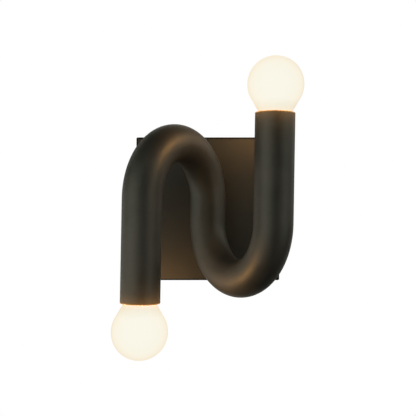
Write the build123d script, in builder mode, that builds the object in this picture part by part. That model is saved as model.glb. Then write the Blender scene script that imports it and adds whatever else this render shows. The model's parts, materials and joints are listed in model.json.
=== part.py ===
"""Wall light: one bent tube carries a globe lamp at each of its two open ends.

The tube makes two half-circle bends, swung forward from the wall, in front of a square
wall plate. Millimetres, +Z up. The wall is the plane Y = 0 and the light faces -Y.
The upper lamp is the lower one turned half round about the Y axis.
"""

import os
from math import cos, radians, sin, tan

from build123d import *

os.makedirs("parts", exist_ok=True)

# Wall plate, a shallow pan open towards the wall
plate_side = 150.0
plate_depth = 20.0
plate_wall = 1.2
plate_corner_r = 1.5
plate_edge_r = 0.9

# Serpentine tube
tube_od = 36.0
tube_wall = 1.5
bend_r = 54.0
bend_swing = 57.0  # degrees between a bend's plane and the wall
tube_roll = 1.0  # degrees that the tube stands turned on the plate
middle_straight = 20.0
leg_straight = 96.0  # mean of the two legs
bend_drop = 2.5  # the bends stand this far below the middle between the rims
rim_round = 0.2
plate_gap = 6.0  # between the plate and the back of the tube

# Boss, nipple, washer and nut that hold the tube to the plate
boss_od = 24.0
boss_spigot_od = 14.0
boss_depth = 5.0  # how far the spigot stands inside the tube
nipple_od = 10.0
nipple_bore = 7.5
nipple_stand = 1.2  # past its nut
hex_sides = 6
nut_flats = 14.0
nut_height = 4.5
washer_od = 18.0
washer_t = 0.8
washer_teeth = 12
tooth_depth = 1.6
tooth_width = 1.8

# Mounting strap and its screws
strap_width = 25.0
strap_t = 1.6
strap_bend_r = 2.4
flange_length = 14.0
slot_spacing = 79.4  # takes box screws from 69.9 to 88.9 apart
slot_length = 15.0
slot_width = 4.8
wire_hole_d = 16.0
side_screw_d = 4.0
side_screw_length = 8.0
side_screw_head_d = 7.4
side_screw_head_h = 2.2
side_screw_head_round = 1.4
side_screw_depth = 8.5  # from the wall to the screw's middle line
ground_screw_d = 4.8
ground_screw_offset = 22.0  # from the middle of the strap
ground_flats = 8.0
ground_head_h = 3.2
ground_washer_d = 10.4
ground_washer_t = 1.0

# Globe bulb with a candelabra screw cap
bulb_d = 50.8
glass_t = 0.8
neck_half_angle = 30.0  # degrees, the cone below the globe
neck_r = 5.2
neck_blend_r = 4.0
neck_in_cap = 4.0
mouth_gap = 1.95  # between the glass and the rim of the tube
cap_drop = 1.2  # cap below the start of the glass neck
cap_sheet = 0.3
cap_skirt_r = 6.3
cap_skirt_length = 2.0
cap_thread_r = 5.85
cap_thread_length = 9.5
cap_turn_in = 1.0
cap_end_r = 4.6
insulator_stand = 1.5
insulator_in_cap = 3.0
insulator_end_r = 3.2
tip_r = 2.6
tip_height = 1.0
tip_rivet_r = 0.9
stem_r = 2.2
stem_flare = 8.0
stem_top = 6.0  # above the middle of the globe
filament_count = 4
filament_d = 1.4
filament_length = 22.0
filament_ring_r = 6.0
spider_hub_r = 3.4
spider_t = 0.9
spider_arm = 1.2

# Lamp holder
socket_od = 20.0
socket_seat = 0.5  # between the cap's skirt and the socket's mouth
socket_floor_t = 7.0
socket_flat = 18.6  # across the two flats that the yoke grips
shell_t = 0.5
shell_drop = 0.5  # below the socket's mouth
shell_lip = 1.4
contact_rise = 2.8
contact_t = 0.5
contact_width = 4.0
contact_half = 3.4
contact_bend_r = 0.5
contact_slope = 1.9
contact_rivet_d = 2.4
contact_rivet_length = 3.0
yoke_t = 1.2
yoke_width = 9.0
yoke_bend_r = 2.0
yoke_arm = 6.5  # grip on the socket
yoke_drop = 8.0  # from the socket to the yoke's base
hub_od = 13.0
hub_length = 5.5
yoke_screw_d = 3.0
yoke_screw_length = 5.0
yoke_screw_head_d = 5.0
yoke_screw_head_h = 1.4
disc_t = 1.2
disc_rim = 5.0
disc_bend_r = 1.0
holder_nipple_stand = 1.5

# Leads inside the tube and their connectors in the plate
lead_od = 2.2
lead_grip = 4.0  # in the socket and in the connector
lead_space = 0.6  # from the nut that a lead passes
lead_drop = 2.5  # straight below the socket
lead_jog = 14.0  # back to the tube's middle line
terminal_offset = 5.5
lead_run_offset = 1.5  # beside the tube's middle line
lead_bore_offset = 1.3
lead_bend_r = 6.0
lead_entry_r = 8.0
lead_turn_r = 4.0
lead_slack = 3.0  # the leads take each bend this much tighter than the tube
lead_depth_near = 8.6  # from the wall, where a lead turns off to the nearer connector
lead_depth_far = 5.0
connector_z = 15.0
connector_length = 19.0
connector_wall = 1.6
connector_bore_depth = 6.0
connector_taper = 4.0  # degrees
connector_flutes = 10
connector_flute_d = 1.8

# Clearances
weld_gap = 0.05  # pieces that are welded, pressed or screwed tight
slip_gap = 0.1  # pieces that slide together
screw_gap = 0.2  # clearance hole around a screw or a lead
strap_gap = 0.5  # strap flange to the plate's side
turn_gap = 0.35  # between bodies that move on each other
box_gap = 0.2  # the ground screw stays this far in front of the wall

# The tube's middle line: along the middle, and from there out to the leg
tube_r = tube_od / 2
tube_ir = tube_r - tube_wall
plate_front = -plate_depth
plate_inside = plate_front + plate_wall
tube_y = plate_front - plate_gap - tube_r
roll = radians(tube_roll)
swing = radians(bend_swing)
middle = Vector(0, tube_y, 0)
along = Vector(sin(roll), 0, cos(roll))
left = Vector(-cos(roll), 0, sin(roll))
reach = left * cos(swing) + Vector(0, -sin(swing), 0)
across = reach.cross(along)
half_middle = middle_straight / 2

# The lower lamp hangs on the half whose bend stands above the middle, on the left.
# In the plane of that bend X runs from the middle to the leg and Y runs up.
# Both bends are lowered together, so the left leg is the shorter one.
bend_middle = middle - along * bend_drop
bend_plane = Plane(origin=bend_middle, x_dir=reach, z_dir=across)
half_turn = 180
twin_plane = Plane(
    origin=bend_middle,
    x_dir=reach.rotate(Axis.Y, half_turn),
    z_dir=across.rotate(Axis.Y, half_turn),
)
rim = middle + reach * (2 * bend_r) + along * (half_middle - leg_straight)
out = along * -1

# Levels in a lamp are measured outwards from the rim of the tube
bulb_r = bulb_d / 2
neck_slope = radians(neck_half_angle)
mouth_r = tube_ir - mouth_gap
bulb_level = (bulb_r / cos(neck_slope) - mouth_r) / tan(neck_slope)
neck_level = (neck_r - mouth_r) / tan(neck_slope)
cap_top = neck_level - cap_drop
neck_bottom = cap_top - neck_in_cap
skirt_bottom = cap_top - cap_skirt_length
thread_bottom = skirt_bottom - cap_thread_length
cap_bottom = thread_bottom - cap_turn_in
insulator_bottom = cap_bottom - insulator_stand
tip_bottom = insulator_bottom - tip_height
socket_top = skirt_bottom - socket_seat
contact_top = tip_bottom - turn_gap
socket_floor = contact_top - contact_rise
socket_bottom = socket_floor - socket_floor_t
shell_ir = cap_thread_r + turn_gap
shell_or = shell_ir + shell_t
arm_top = socket_bottom + yoke_arm
screw_level = socket_bottom + yoke_arm / 2
yoke_base = socket_bottom - yoke_drop
hub_bottom = yoke_base - yoke_t - hub_length
disc_bottom = hub_bottom - disc_t
holder_nut_bottom = disc_bottom - nut_height
holder_nipple_bottom = holder_nut_bottom - holder_nipple_stand
nut_corner_r = nut_flats / 2 / cos(radians(half_turn / hex_sides))
lead_r = lead_od / 2
lead_pass_offset = nut_corner_r + lead_space + lead_r

lamp_axis = Axis(rim, out)
lamp_section = Plane(origin=rim, x_dir=reach, z_dir=reach.cross(out))


def lamp_level(height):
    """Plane across a lamp at a level, with X along the reach and Z outwards."""
    return Plane(origin=rim + out * height, x_dir=reach, z_dir=out)


def wall_level(y):
    """Plane parallel to the wall, with X to the right and Z towards the wall."""
    return Plane(origin=(0, y, 0), x_dir=(1, 0, 0), z_dir=(0, 1, 0))


def write_node(piece, name):
    """Label one piece and write it."""
    piece.label = name
    export_step(piece, f"parts/{name}.step")


def write_pair(piece, lower_name, upper_name):
    """Write a piece of the lower lamp, and its twin on the upper lamp."""
    write_node(piece, lower_name)
    write_node(piece.rotate(Axis.Y, half_turn), upper_name)


# Wall plate: a square pan with a hole for the nipple and two for the side screws
with BuildPart() as wall_plate:
    with BuildSketch(wall_level(plate_front)):
        RectangleRounded(plate_side, plate_side, plate_corner_r)
    extrude(amount=plate_depth)
    fillet(wall_plate.faces().sort_by(Axis.Y)[0].edges(), plate_edge_r)
    offset(amount=-plate_wall, openings=wall_plate.faces().sort_by(Axis.Y)[-1])
    with BuildSketch(wall_level(plate_front)):
        Circle(nipple_od / 2 + screw_gap)
    extrude(amount=plate_depth, mode=Mode.SUBTRACT)
    with BuildSketch(Plane.YZ):
        with Locations((-side_screw_depth, 0)):
            Circle(side_screw_d / 2 + screw_gap)
    extrude(amount=plate_side, both=True, mode=Mode.SUBTRACT)
write_node(wall_plate.part, "wall_plate")

# Serpentine tube: one half swept along its middle line, then the other
with BuildPart() as serpentine_tube:
    for half_plane, leg in ((bend_plane, leg_straight - bend_drop), (twin_plane, leg_straight + bend_drop)):
        with BuildLine(half_plane) as half_route:
            Line((0, 0), (0, half_middle))
            ThreePointArc((0, half_middle), (bend_r, half_middle + bend_r), (2 * bend_r, half_middle))
            Line((2 * bend_r, half_middle), (2 * bend_r, half_middle - leg))
        with BuildSketch(Plane(origin=bend_middle, x_dir=half_plane.x_dir, z_dir=half_plane.y_dir)):
            Circle(tube_r)
            Circle(tube_ir, mode=Mode.SUBTRACT)
        sweep(path=half_route.line)
    with BuildSketch(wall_level(tube_y)):
        Circle(boss_spigot_od / 2 + weld_gap)
    extrude(amount=tube_od, mode=Mode.SUBTRACT)
    rims = (rim, rim.rotate(Axis.Y, half_turn))
    circles = serpentine_tube.edges().filter_by(GeomType.CIRCLE)
    rim_edges = [
        edge for edge in circles if min((edge.arc_center - end).length for end in rims) < tube_wall
    ]
    fillet(rim_edges, rim_round)
write_node(serpentine_tube.part, "serpentine_tube")

# Boss: a collar coped to the tube, with a bored spigot through the tube's back wall
with BuildPart() as tube_boss:
    with BuildSketch(wall_level(plate_front)):
        Circle(boss_od / 2)
    extrude(amount=-(plate_gap + tube_r))
    with BuildSketch(Plane(origin=middle, z_dir=along)):
        Circle(tube_r + weld_gap)
    extrude(amount=tube_od, both=True, mode=Mode.SUBTRACT)
    with BuildSketch(wall_level(plate_front)):
        Circle(boss_spigot_od / 2)
    extrude(amount=-(plate_gap + tube_wall + boss_depth))
    with BuildSketch(wall_level(plate_front)):
        Circle(nipple_od / 2 + weld_gap)
    extrude(amount=-(plate_gap + tube_r), mode=Mode.SUBTRACT)
write_node(tube_boss.part, "tube_boss")

# Toothed washer and nut behind the plate's front
with BuildPart() as tooth_washer:
    with BuildSketch(wall_level(plate_inside)):
        Circle(washer_od / 2 - tooth_depth)
        with PolarLocations(washer_od / 2 - tooth_depth, washer_teeth):
            Rectangle(2 * tooth_depth, tooth_width)
        Circle(nipple_od / 2 + slip_gap, mode=Mode.SUBTRACT)
    extrude(amount=washer_t)
write_node(tooth_washer.part, "tooth_washer")

with BuildPart() as nipple_nut:
    with BuildSketch(wall_level(plate_inside + washer_t)):
        RegularPolygon(nut_flats / 2, hex_sides, major_radius=False)
        Circle(nipple_od / 2 + weld_gap, mode=Mode.SUBTRACT)
    extrude(amount=nut_height)
write_node(nipple_nut.part, "nipple_nut")

# Centre nipple: from the boss's inner end through the plate to just past the nut
nipple_inner_end = plate_front - plate_gap - tube_wall - boss_depth
nipple_outer_end = plate_inside + washer_t + nut_height + nipple_stand
with BuildPart() as centre_nipple:
    with BuildSketch(wall_level(nipple_inner_end)):
        Circle(nipple_od / 2)
        Circle(nipple_bore / 2, mode=Mode.SUBTRACT)
    extrude(amount=nipple_outer_end - nipple_inner_end)
write_node(centre_nipple.part, "centre_nipple")

# Mounting strap: a bent strip with slots for the box screws and tapped end flanges
flange_x = plate_side / 2 - plate_wall - strap_gap - strap_t / 2
with BuildPart() as mounting_strap:
    with BuildSketch(Plane.XY):
        with BuildLine():
            FilletPolyline(
                (-flange_x, -flange_length),
                (-flange_x, -strap_t / 2),
                (flange_x, -strap_t / 2),
                (flange_x, -flange_length),
                radius=strap_bend_r,
            )
        trace(line_width=strap_t)
    extrude(amount=strap_width / 2, both=True)
    with BuildSketch(wall_level(-strap_t)):
        Circle(wire_hole_d / 2)
        with GridLocations(slot_spacing, 0, 2, 1):
            SlotOverall(slot_length, slot_width)
        with Locations((-ground_screw_offset, 0)):
            Circle(ground_screw_d / 2 + weld_gap)
    extrude(amount=strap_t, mode=Mode.SUBTRACT)
    with BuildSketch(Plane.YZ):
        with Locations((-side_screw_depth, 0)):
            Circle(side_screw_d / 2 + weld_gap)
    extrude(amount=plate_side, both=True, mode=Mode.SUBTRACT)
write_node(mounting_strap.part, "mounting_strap")

# Two side screws through the plate's sides into the strap's flanges
with BuildPart() as side_screws:
    for side in (-1, 1):
        seat = Plane(origin=(side * plate_side / 2, -side_screw_depth, 0), z_dir=(side, 0, 0))
        with BuildSketch(seat):
            Circle(side_screw_head_d / 2)
        head = extrude(amount=side_screw_head_h)
        fillet(head.faces().sort_by(Axis.X)[-1 if side > 0 else 0].edges(), side_screw_head_round)
        with BuildSketch(seat):
            Circle(side_screw_d / 2)
        extrude(amount=-side_screw_length)
write_node(side_screws.part, "side_screws")

# Ground screw: hexagon head with a pressed washer, on the strap's front
with BuildPart() as ground_screw:
    with BuildSketch(wall_level(-strap_t)):
        with Locations((-ground_screw_offset, 0)):
            Circle(ground_washer_d / 2)
    extrude(amount=-ground_washer_t)
    with BuildSketch(wall_level(-strap_t - ground_washer_t)):
        with Locations((-ground_screw_offset, 0)):
            RegularPolygon(ground_flats / 2, hex_sides, major_radius=False)
    extrude(amount=-ground_head_h)
    with BuildSketch(wall_level(-strap_t)):
        with Locations((-ground_screw_offset, 0)):
            Circle(ground_screw_d / 2)
    extrude(amount=strap_t - box_gap)
write_node(ground_screw.part, "ground_screw")

# Bulb globe: a glass shell whose globe runs into a cone and a narrow neck
with BuildPart() as bulb_globe:
    with BuildSketch(lamp_section):
        for inset, mode in ((0, Mode.ADD), (glass_t, Mode.SUBTRACT)):
            globe_r = bulb_r - inset
            inner_neck_r = neck_r - inset
            tangent_r = globe_r * cos(neck_slope)
            tangent_level = bulb_level - globe_r * sin(neck_slope)
            bend_level = tangent_level - (tangent_r - inner_neck_r) / tan(neck_slope)
            with BuildLine():
                Line((0, bulb_level + globe_r), (0, neck_bottom))
                Line((0, neck_bottom), (inner_neck_r, neck_bottom))
                FilletPolyline(
                    (inner_neck_r, neck_bottom),
                    (inner_neck_r, bend_level),
                    (tangent_r, tangent_level),
                    radius=neck_blend_r + inset,
                )
                ThreePointArc(
                    (tangent_r, tangent_level),
                    (globe_r, bulb_level),
                    (0, bulb_level + globe_r),
                )
            make_face(mode=mode)
    revolve(axis=lamp_axis)
write_pair(bulb_globe.part, "bulb_globe_lower", "bulb_globe_upper")

# Bulb cap: the rolled sheet-metal screw cap around the glass neck
with BuildPart() as bulb_cap:
    with BuildSketch(lamp_section):
        with BuildLine():
            Polyline(
                (cap_skirt_r - cap_sheet / 2, cap_top),
                (cap_skirt_r - cap_sheet / 2, skirt_bottom),
                (cap_thread_r - cap_sheet / 2, skirt_bottom),
                (cap_thread_r - cap_sheet / 2, thread_bottom),
                (cap_end_r, cap_bottom),
            )
        trace(line_width=cap_sheet)
    revolve(axis=lamp_axis)
write_pair(bulb_cap.part, "bulb_cap_lower", "bulb_cap_upper")

# Insulator plug in the end of the cap, and the tip contact riveted through it
plug_r = cap_end_r - cap_sheet - turn_gap
with BuildPart() as bulb_insulator:
    with BuildSketch(lamp_section):
        with BuildLine():
            Polyline(
                (tip_rivet_r + weld_gap, cap_bottom + insulator_in_cap),
                (plug_r, cap_bottom + insulator_in_cap),
                (plug_r, cap_bottom),
                (insulator_end_r, insulator_bottom),
                (tip_rivet_r + weld_gap, insulator_bottom),
                close=True,
            )
        make_face()
    revolve(axis=lamp_axis)
write_pair(bulb_insulator.part, "bulb_insulator_lower", "bulb_insulator_upper")

with BuildPart() as bulb_tip:
    with BuildSketch(lamp_section):
        with BuildLine():
            Polyline(
                (0, tip_bottom),
                (0, cap_bottom + insulator_in_cap),
                (tip_rivet_r, cap_bottom + insulator_in_cap),
                (tip_rivet_r, insulator_bottom),
                (tip_r, insulator_bottom),
            )
            TangentArc((0, tip_bottom), (tip_r, insulator_bottom), tangent=(1, 0))
        make_face()
    revolve(axis=lamp_axis)
write_pair(bulb_tip.part, "bulb_tip_lower", "bulb_tip_upper")

# Stem: the glass post that closes the neck and stands up inside the globe
flare_r = neck_r - glass_t - slip_gap
with BuildPart() as bulb_stem:
    with BuildSketch(lamp_section):
        with BuildLine():
            Polyline(
                (0, neck_bottom),
                (flare_r, neck_bottom),
                (stem_r, neck_bottom + stem_flare),
                (stem_r, bulb_level + stem_top),
                (0, bulb_level + stem_top),
                close=True,
            )
        make_face()
    revolve(axis=lamp_axis)
write_pair(bulb_stem.part, "bulb_stem_lower", "bulb_stem_upper")

# Filaments: upright light strips between two wire spiders on the stem
spider_high = bulb_level + stem_top - spider_t
spider_low = spider_high - filament_length
with BuildPart() as bulb_filaments:
    for spider_level in (spider_low, spider_high):
        with BuildSketch(lamp_level(spider_level)):
            Circle(spider_hub_r)
            with PolarLocations(0, filament_count):
                Rectangle(filament_ring_r, spider_arm, align=(Align.MIN, Align.CENTER))
            Circle(stem_r + slip_gap, mode=Mode.SUBTRACT)
        extrude(amount=spider_t)
    with BuildSketch(lamp_level(spider_low)):
        with PolarLocations(filament_ring_r, filament_count):
            Circle(filament_d / 2)
    extrude(amount=filament_length + spider_t)
write_pair(bulb_filaments.part, "bulb_filaments_lower", "bulb_filaments_upper")

# Socket body: a moulded cylinder, bored for the screw shell, with two flats for the yoke
with BuildPart() as socket_body:
    with BuildSketch(lamp_level(socket_bottom)):
        Circle(socket_od / 2)
    extrude(amount=socket_top - socket_bottom)
    with BuildSketch(lamp_level(socket_floor)):
        Circle(shell_or + slip_gap)
    extrude(amount=socket_top - socket_floor, mode=Mode.SUBTRACT)
    with BuildSketch(lamp_level(socket_bottom)):
        Rectangle(2 * socket_od, 2 * socket_od)
        Rectangle(socket_flat, 2 * socket_od, mode=Mode.SUBTRACT)
    extrude(amount=yoke_arm + slip_gap, mode=Mode.SUBTRACT)
    with BuildSketch(lamp_level(socket_bottom)):
        with GridLocations(0, 2 * terminal_offset, 1, 2):
            Circle(lead_r + slip_gap)
    extrude(amount=lead_grip, mode=Mode.SUBTRACT)
    with BuildSketch(lamp_level(socket_floor)):
        Circle(contact_rivet_d / 2 + weld_gap)
    extrude(amount=-contact_rivet_length, mode=Mode.SUBTRACT)
    for side in (-1, 1):
        flat = rim + out * screw_level + reach * (side * socket_flat / 2)
        with BuildSketch(Plane(origin=flat, z_dir=reach * side)):
            Circle(yoke_screw_d / 2 + weld_gap)
        extrude(amount=-yoke_screw_length, mode=Mode.SUBTRACT)
write_pair(socket_body.part, "socket_body_lower", "socket_body_upper")

# Screw shell that the bulb's cap turns in
with BuildPart() as screw_shell:
    with BuildSketch(lamp_section):
        with BuildLine():
            Polyline(
                (shell_ir + shell_t / 2, socket_top - shell_drop),
                (shell_ir + shell_t / 2, socket_floor + shell_t / 2),
                (shell_ir - shell_lip, socket_floor + shell_t / 2),
            )
        trace(line_width=shell_t)
    revolve(axis=lamp_axis)
write_pair(screw_shell.part, "screw_shell_lower", "screw_shell_upper")

# Centre contact: a leaf folded back over its foot, with a rivet into the socket's floor
with BuildPart() as centre_contact:
    with BuildSketch(lamp_section):
        with BuildLine():
            FilletPolyline(
                (-contact_half, socket_floor + contact_t / 2),
                (contact_half, socket_floor + contact_t / 2),
                (contact_half - contact_slope, contact_top - contact_t / 2),
                (-contact_half / 2, contact_top - contact_t / 2),
                radius=contact_bend_r,
            )
        trace(line_width=contact_t)
    extrude(amount=contact_width / 2, both=True)
    with BuildSketch(lamp_level(socket_floor)):
        Circle(contact_rivet_d / 2)
    extrude(amount=-contact_rivet_length)
write_pair(centre_contact.part, "centre_contact_lower", "centre_contact_upper")

# Yoke: a bent strip that grips the socket's flats, with a threaded hub below
arm_x = socket_flat / 2 + slip_gap + yoke_t / 2
with BuildPart() as socket_yoke:
    with BuildSketch(lamp_section):
        with BuildLine():
            FilletPolyline(
                (-arm_x, arm_top),
                (-arm_x, yoke_base - yoke_t / 2),
                (arm_x, yoke_base - yoke_t / 2),
                (arm_x, arm_top),
                radius=yoke_bend_r,
            )
        trace(line_width=yoke_t)
    extrude(amount=yoke_width / 2, both=True)
    with BuildSketch(lamp_level(yoke_base - yoke_t)):
        Circle(hub_od / 2)
    extrude(amount=-hub_length)
    with BuildSketch(lamp_level(yoke_base)):
        Circle(nipple_od / 2 + weld_gap)
    extrude(amount=-yoke_t - hub_length, mode=Mode.SUBTRACT)
    with BuildSketch(Plane(origin=rim + out * screw_level, z_dir=reach)):
        Circle(yoke_screw_d / 2 + slip_gap)
    extrude(amount=socket_od, both=True, mode=Mode.SUBTRACT)
write_pair(socket_yoke.part, "socket_yoke_lower", "socket_yoke_upper")

# Two screws from the yoke's arms into the socket
with BuildPart() as yoke_screws:
    for side in (-1, 1):
        arm_face = rim + out * screw_level + reach * (side * (arm_x + yoke_t / 2))
        with BuildSketch(Plane(origin=arm_face, z_dir=reach * side)):
            Circle(yoke_screw_head_d / 2)
        extrude(amount=yoke_screw_head_h)
        with BuildSketch(Plane(origin=arm_face, z_dir=reach * side)):
            Circle(yoke_screw_d / 2)
        extrude(amount=-yoke_screw_length)
write_pair(yoke_screws.part, "yoke_screws_lower", "yoke_screws_upper")

# Carrier disc: a pressed cup across the tube, holed for the nipple and the leads
disc_r = tube_ir - slip_gap
with BuildPart() as carrier_disc:
    with BuildSketch(lamp_section):
        with BuildLine():
            FilletPolyline(
                (nipple_od / 2 + slip_gap, hub_bottom - disc_t / 2),
                (disc_r - disc_t / 2, hub_bottom - disc_t / 2),
                (disc_r - disc_t / 2, hub_bottom - disc_rim),
                radius=disc_bend_r,
            )
        trace(line_width=disc_t)
    revolve(axis=lamp_axis)
    with BuildSketch(lamp_level(hub_bottom)):
        with GridLocations(0, 2 * lead_pass_offset, 1, 2):
            Circle(lead_r + screw_gap)
    extrude(amount=-disc_t, mode=Mode.SUBTRACT)
write_pair(carrier_disc.part, "carrier_disc_lower", "carrier_disc_upper")

# Short nipple and nut that hold the yoke's hub to the carrier disc
with BuildPart() as holder_nipple:
    with BuildSketch(lamp_level(yoke_base)):
        Circle(nipple_od / 2)
        Circle(nipple_bore / 2, mode=Mode.SUBTRACT)
    extrude(amount=holder_nipple_bottom - yoke_base)
write_pair(holder_nipple.part, "holder_nipple_lower", "holder_nipple_upper")

with BuildPart() as holder_nut:
    with BuildSketch(lamp_level(disc_bottom)):
        RegularPolygon(nut_flats / 2, hex_sides, major_radius=False)
        Circle(nipple_od / 2 + weld_gap, mode=Mode.SUBTRACT)
    extrude(amount=-nut_height)
write_pair(holder_nut.part, "holder_nut_lower", "holder_nut_upper")


def lead_corners(side, turn_depth, way):
    """Corners of a lead: socket, carrier disc, leg, bend, boss, nipple and connector."""
    in_lamp = [
        rim + out * level + across * (side * offset)
        for level, offset in (
            (socket_bottom + lead_grip, terminal_offset),
            (socket_bottom - lead_drop, terminal_offset),
            (yoke_base, lead_pass_offset),
            (holder_nipple_bottom, lead_pass_offset),
            (holder_nipple_bottom - lead_jog, lead_run_offset),
        )
    ]
    beside = middle + across * (side * lead_run_offset)
    bend_top = beside + along * (half_middle + bend_r)
    entry = beside + along * lead_bore_offset
    in_plate = [
        Vector(entry.X, -turn_depth, entry.Z),
        Vector(entry.X, -turn_depth, way * (connector_z + lead_grip)),
    ]
    return in_lamp + [bend_top + reach * (2 * bend_r), bend_top, entry] + in_plate


# Each lead's radii, from the lamp to the connector
lead_radii = [lead_bend_r] * 4 + [bend_r - lead_slack] * 2 + [lead_entry_r, lead_turn_r]

# One lead of the lower lamp turns off to the upper connector, the other passes behind it
near_corners = lead_corners(1, lead_depth_near, 1)
far_corners = lead_corners(-1, lead_depth_far, -1)
with BuildPart() as near_lead:
    with BuildLine() as near_route:
        FilletPolyline(*near_corners, radius=lead_radii)
    with BuildSketch(Plane(origin=near_corners[0], z_dir=along)):
        Circle(lead_r)
    sweep(path=near_route.line)
write_pair(near_lead.part, "black_lead_lower", "white_lead_upper")

with BuildPart() as far_lead:
    with BuildLine() as far_route:
        FilletPolyline(*far_corners, radius=lead_radii)
    with BuildSketch(Plane(origin=far_corners[0], z_dir=along)):
        Circle(lead_r)
    sweep(path=far_route.line)
write_pair(far_lead.part, "white_lead_lower", "black_lead_upper")

# Twist-on connectors: fluted tapering caps, one above and one below the strap
connector_bore_r = (lead_depth_near - lead_depth_far) / 2 + lead_r + screw_gap
connector_r = connector_bore_r + connector_wall
connector_x = near_corners[-1].X
connector_y = -(lead_depth_near + lead_depth_far) / 2
with BuildPart() as wire_connectors:
    for way in (1, -1):
        mouth = Plane(origin=(way * connector_x, connector_y, way * connector_z), z_dir=(0, 0, way))
        with BuildSketch(mouth):
            Circle(connector_r)
        extrude(amount=connector_length, taper=connector_taper)
        with BuildSketch(mouth):
            Circle(connector_bore_r)
        extrude(amount=connector_bore_depth, mode=Mode.SUBTRACT)
        with BuildSketch(mouth):
            with PolarLocations(connector_r, connector_flutes):
                Circle(connector_flute_d / 2)
        extrude(amount=connector_length, mode=Mode.SUBTRACT)
write_node(wire_connectors.part, "wire_connectors")
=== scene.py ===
# %% [markdown]
# # A bent-tube wall light
#
# This light is one bronze tube, bent into two half circles in front of a square wall plate, with a lit
# globe bulb in each open end. Its solids are already drawn, at their real size and in metres. This lesson
# gives them their looks: smoother meshes where the eye rests, finer fasteners at the back, a finish for
# every surface, and a photographer's light.

# %% Load the solids
import json
import math

import bmesh
import bpy
from mathutils import Matrix, Vector

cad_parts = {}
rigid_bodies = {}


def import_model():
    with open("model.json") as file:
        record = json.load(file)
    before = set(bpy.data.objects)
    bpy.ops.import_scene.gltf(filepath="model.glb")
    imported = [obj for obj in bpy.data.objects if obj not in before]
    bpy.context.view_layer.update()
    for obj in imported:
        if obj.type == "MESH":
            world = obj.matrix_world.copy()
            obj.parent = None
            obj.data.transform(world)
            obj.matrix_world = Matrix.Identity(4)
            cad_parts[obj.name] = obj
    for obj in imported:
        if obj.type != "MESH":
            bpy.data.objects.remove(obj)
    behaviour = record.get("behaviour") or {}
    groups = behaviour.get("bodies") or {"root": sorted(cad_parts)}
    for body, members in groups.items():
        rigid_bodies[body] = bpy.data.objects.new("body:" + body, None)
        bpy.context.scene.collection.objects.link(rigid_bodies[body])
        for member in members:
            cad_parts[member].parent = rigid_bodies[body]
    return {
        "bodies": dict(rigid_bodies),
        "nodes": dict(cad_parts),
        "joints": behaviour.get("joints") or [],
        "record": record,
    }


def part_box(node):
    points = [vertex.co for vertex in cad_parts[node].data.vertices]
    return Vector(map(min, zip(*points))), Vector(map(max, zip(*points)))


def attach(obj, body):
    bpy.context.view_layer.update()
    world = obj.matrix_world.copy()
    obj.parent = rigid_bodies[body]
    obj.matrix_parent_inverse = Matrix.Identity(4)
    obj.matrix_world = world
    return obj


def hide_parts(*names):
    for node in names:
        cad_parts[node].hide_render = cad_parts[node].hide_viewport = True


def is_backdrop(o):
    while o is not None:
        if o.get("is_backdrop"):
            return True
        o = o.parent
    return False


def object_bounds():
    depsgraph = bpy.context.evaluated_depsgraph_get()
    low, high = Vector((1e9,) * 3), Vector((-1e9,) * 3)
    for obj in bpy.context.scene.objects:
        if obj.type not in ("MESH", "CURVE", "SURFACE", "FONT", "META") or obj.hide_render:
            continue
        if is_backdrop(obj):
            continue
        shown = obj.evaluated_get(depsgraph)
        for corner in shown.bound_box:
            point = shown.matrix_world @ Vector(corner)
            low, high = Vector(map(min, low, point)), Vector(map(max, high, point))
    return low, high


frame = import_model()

cad_low, cad_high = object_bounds()

# %% [markdown]
# ## Where the lamps are
#
# A new piece has to land exactly on the solid that it stands for. Its place could be typed in again, but
# then the two would drift apart, so places are read from the frame: each bulb turns on a joint, and that
# joint gives the middle of the tube's rim and the direction in which the lamp points. Every other level in
# a lamp is measured on its solid, from the rim outwards. Only the lower lamp is measured, because the upper
# one is the same, turned half round.

# %% Read the lamps' places
MM = 0.001
ENDS = ("lower", "upper")
joints = {joint["name"]: joint for joint in frame["joints"]}
rims = {end: Vector(joints[f"{end}_bulb_turn"]["pos_m"]) for end in ENDS}
outs = {end: Vector(joints[f"{end}_bulb_turn"]["axis"]).normalized() for end in ENDS}
rim, out = rims["lower"], outs["lower"]


def lamp_span(part):
    """Lowest level, highest level and largest radius of a solid of the lower lamp."""
    points = [vertex.co - rim for vertex in frame["nodes"][f"{part}_lower"].data.vertices]
    levels = [point.dot(out) for point in points]
    radius = max((point - out * level).length for point, level in zip(points, levels))
    return min(levels), max(levels), radius


def in_mm(place):
    """A place or a size in rounded millimetres, for printing."""
    return [round(value / MM, 2) for value in place]


for end in ENDS:
    print(end, "rim at", in_mm(rims[end]), "mm, pointing", [round(value, 3) for value in outs[end]])

# %% [markdown]
# ## The camera
#
# The photograph looks at the light squarely from the front, with the eye at the height of the plate. The
# lens could be guessed, but the near legs and the far plate fix it: about 63 mm from 0.8 m gives the same
# spread between them. A longer lens from further away would flatten the bends.

# %% Stand the camera in front
LENS = 63.15
EYE = Vector((0.27, -786.1, -4.76)) * MM
PITCH = math.radians(0.411)
camera_data = bpy.data.cameras.new("portrait_camera")
camera_data.lens = LENS
camera = bpy.data.objects.new("portrait_camera", camera_data)
camera.location = EYE
camera.rotation_euler = (math.pi / 2 + PITCH, 0.0, 0.0)
bpy.context.scene.collection.objects.link(camera)
bpy.context.scene.camera = camera
print("camera at", in_mm(EYE), "mm, with a lens of", LENS, "mm")

# %% [markdown]
# ## Sums with sockets
#
# A finish is a small network of nodes. It could be wired link by link, but that is slow to write and hard
# to read. Here one class wraps an output socket instead: a sum or a product of two of them adds the Math
# node that works it out, and one method adds any other node.


# %% Wrap a socket
def socket_of(sockets, key):
    """A socket by its number, its identifier or its name, with _ for a space."""
    if isinstance(key, int):
        return sockets[key]
    exact = [socket for socket in sockets if socket.identifier == key]
    named = [socket for socket in sockets if socket.name.replace(" ", "_") == key]
    return (exact + named)[0]


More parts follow.
